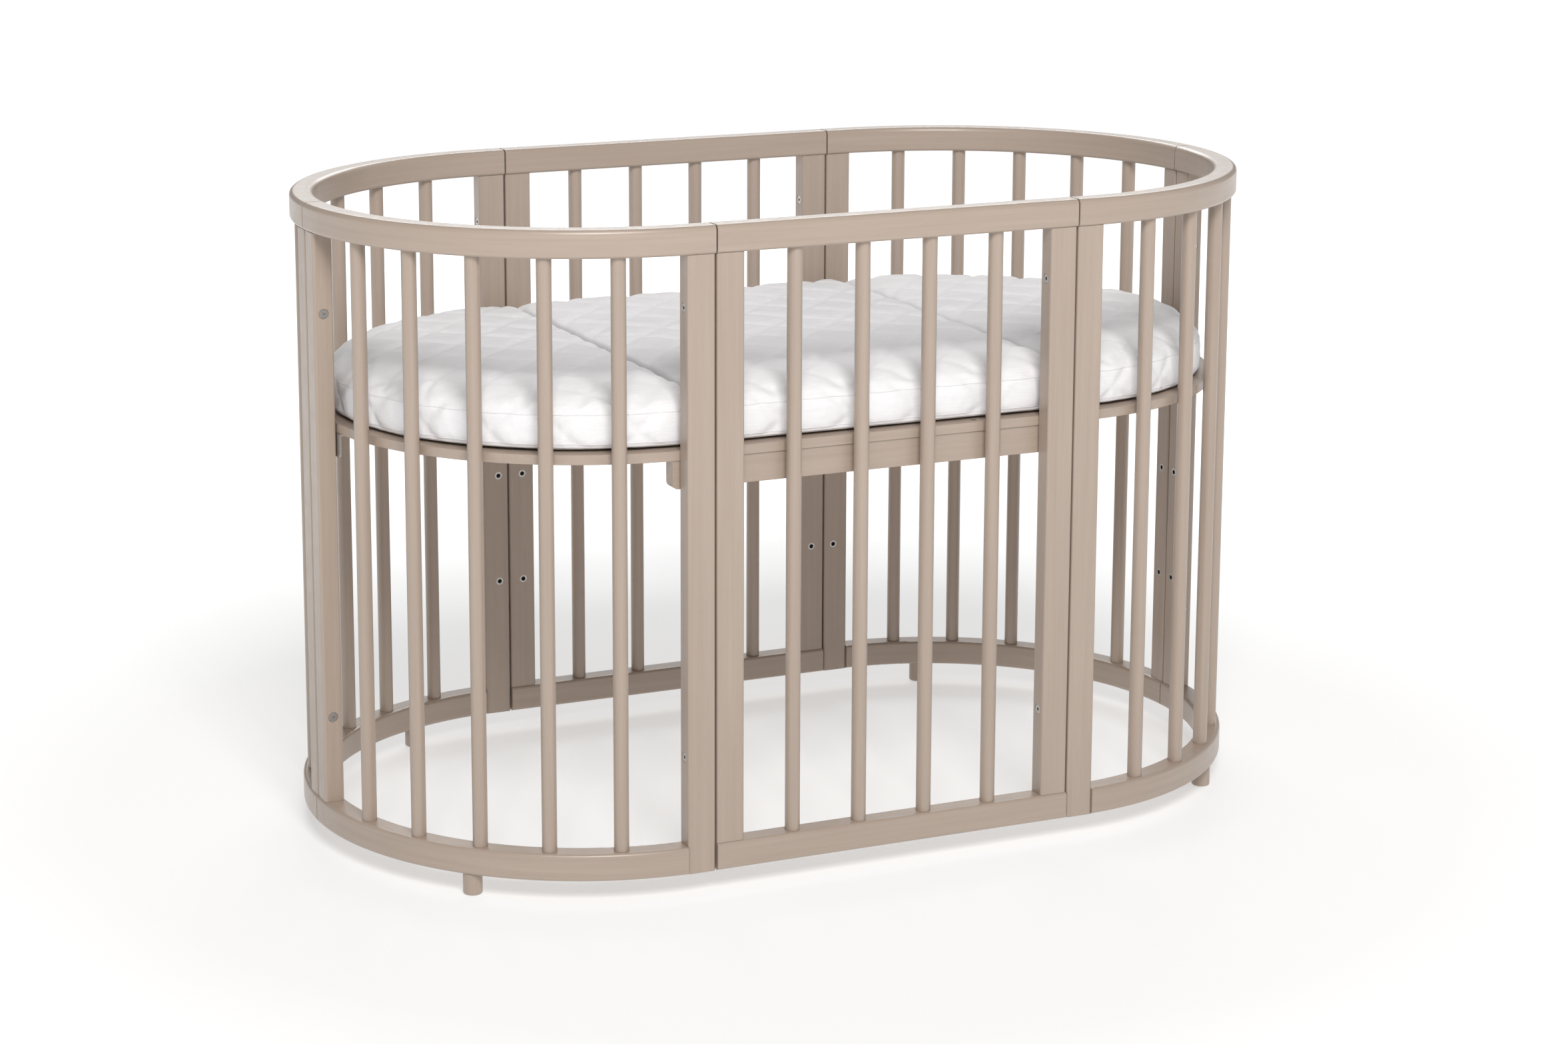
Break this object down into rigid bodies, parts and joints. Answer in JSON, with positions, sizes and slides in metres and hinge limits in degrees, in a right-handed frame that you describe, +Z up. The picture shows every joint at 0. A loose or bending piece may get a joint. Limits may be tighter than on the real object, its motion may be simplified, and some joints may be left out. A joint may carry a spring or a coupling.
{
  "type": "baby crib",
  "caption": "Oval baby crib with curved end panels, straight side panels, round spindles and posts, a height-adjustable base and a quilted mattress in pieces.",
  "frame": {"origin": "on the floor under the middle of the crib", "axes": "+X along the length to the right, +Y to the back long side, +Z up"},
  "size_m": [1.27, 0.74, 0.823],
  "materials": {
    "lacquered_wood": "satin",
    "bare_wood": "matte",
    "steel": "satin",
    "foam": "matte",
    "quilted_cover": "matte"
  },
  "bodies": {
    "frame": {"front_left_top_rail": "lacquered_wood", "front_right_top_rail": "lacquered_wood", "back_left_top_rail": "lacquered_wood", "back_right_top_rail": "lacquered_wood", "front_left_bottom_rail": "lacquered_wood", "front_right_bottom_rail": "lacquered_wood", "back_left_bottom_rail": "lacquered_wood", "back_right_bottom_rail": "lacquered_wood", "front_left_joint_post": "lacquered_wood", "front_right_joint_post": "lacquered_wood", "back_left_joint_post": "lacquered_wood", "back_right_joint_post": "lacquered_wood", "front_left_end_post": "lacquered_wood", "front_right_end_post": "lacquered_wood", "back_left_end_post": "lacquered_wood", "back_right_end_post": "lacquered_wood", "front_left_spindles": "lacquered_wood", "front_right_spindles": "lacquered_wood", "back_left_spindles": "lacquered_wood", "back_right_spindles": "lacquered_wood", "front_side_top_rail": "lacquered_wood", "back_side_top_rail": "lacquered_wood", "front_side_bottom_rail": "lacquered_wood", "back_side_bottom_rail": "lacquered_wood", "front_side_left_post": "lacquered_wood", "front_side_right_post": "lacquered_wood", "back_side_left_post": "lacquered_wood", "back_side_right_post": "lacquered_wood", "front_side_spindles": "lacquered_wood", "back_side_spindles": "lacquered_wood", "side_post_inserts": "steel", "end_post_inserts": "steel", "connector_bolts": "steel", "connector_nuts": "steel", "post_dowels": "bare_wood", "front_left_foot": "lacquered_wood", "front_right_foot": "lacquered_wood", "back_left_foot": "lacquered_wood", "back_right_foot": "lacquered_wood"},
    "base": {"left_base_board": "lacquered_wood", "centre_base_board": "lacquered_wood", "right_base_board": "lacquered_wood", "front_base_beam": "lacquered_wood", "back_base_beam": "lacquered_wood", "left_end_bracket": "steel", "right_end_bracket": "steel", "base_bolts": "steel", "base_screws": "steel"},
    "mattress_left": {"mattress_left_core": "foam", "mattress_left_cover": "quilted_cover"},
    "mattress_middle": {"mattress_middle_core": "foam", "mattress_middle_cover": "quilted_cover"},
    "mattress_right": {"mattress_right_core": "foam", "mattress_right_cover": "quilted_cover"}
  },
  "joints": [
    {"name": "base_height", "type": "slide", "parent": "frame", "child": "base", "axis": [0, 0, 1], "range_m": [-0.302, 0]},
    {"name": "mattress_left_lift", "type": "slide", "parent": "base", "child": "mattress_left", "axis": [0, 0, 1], "range_m": [0, 0.58]},
    {"name": "mattress_middle_lift", "type": "slide", "parent": "base", "child": "mattress_middle", "axis": [0, 0, 1], "range_m": [0, 0.58]},
    {"name": "mattress_right_lift", "type": "slide", "parent": "base", "child": "mattress_right", "axis": [0, 0, 1], "range_m": [0, 0.58]}
  ]
}
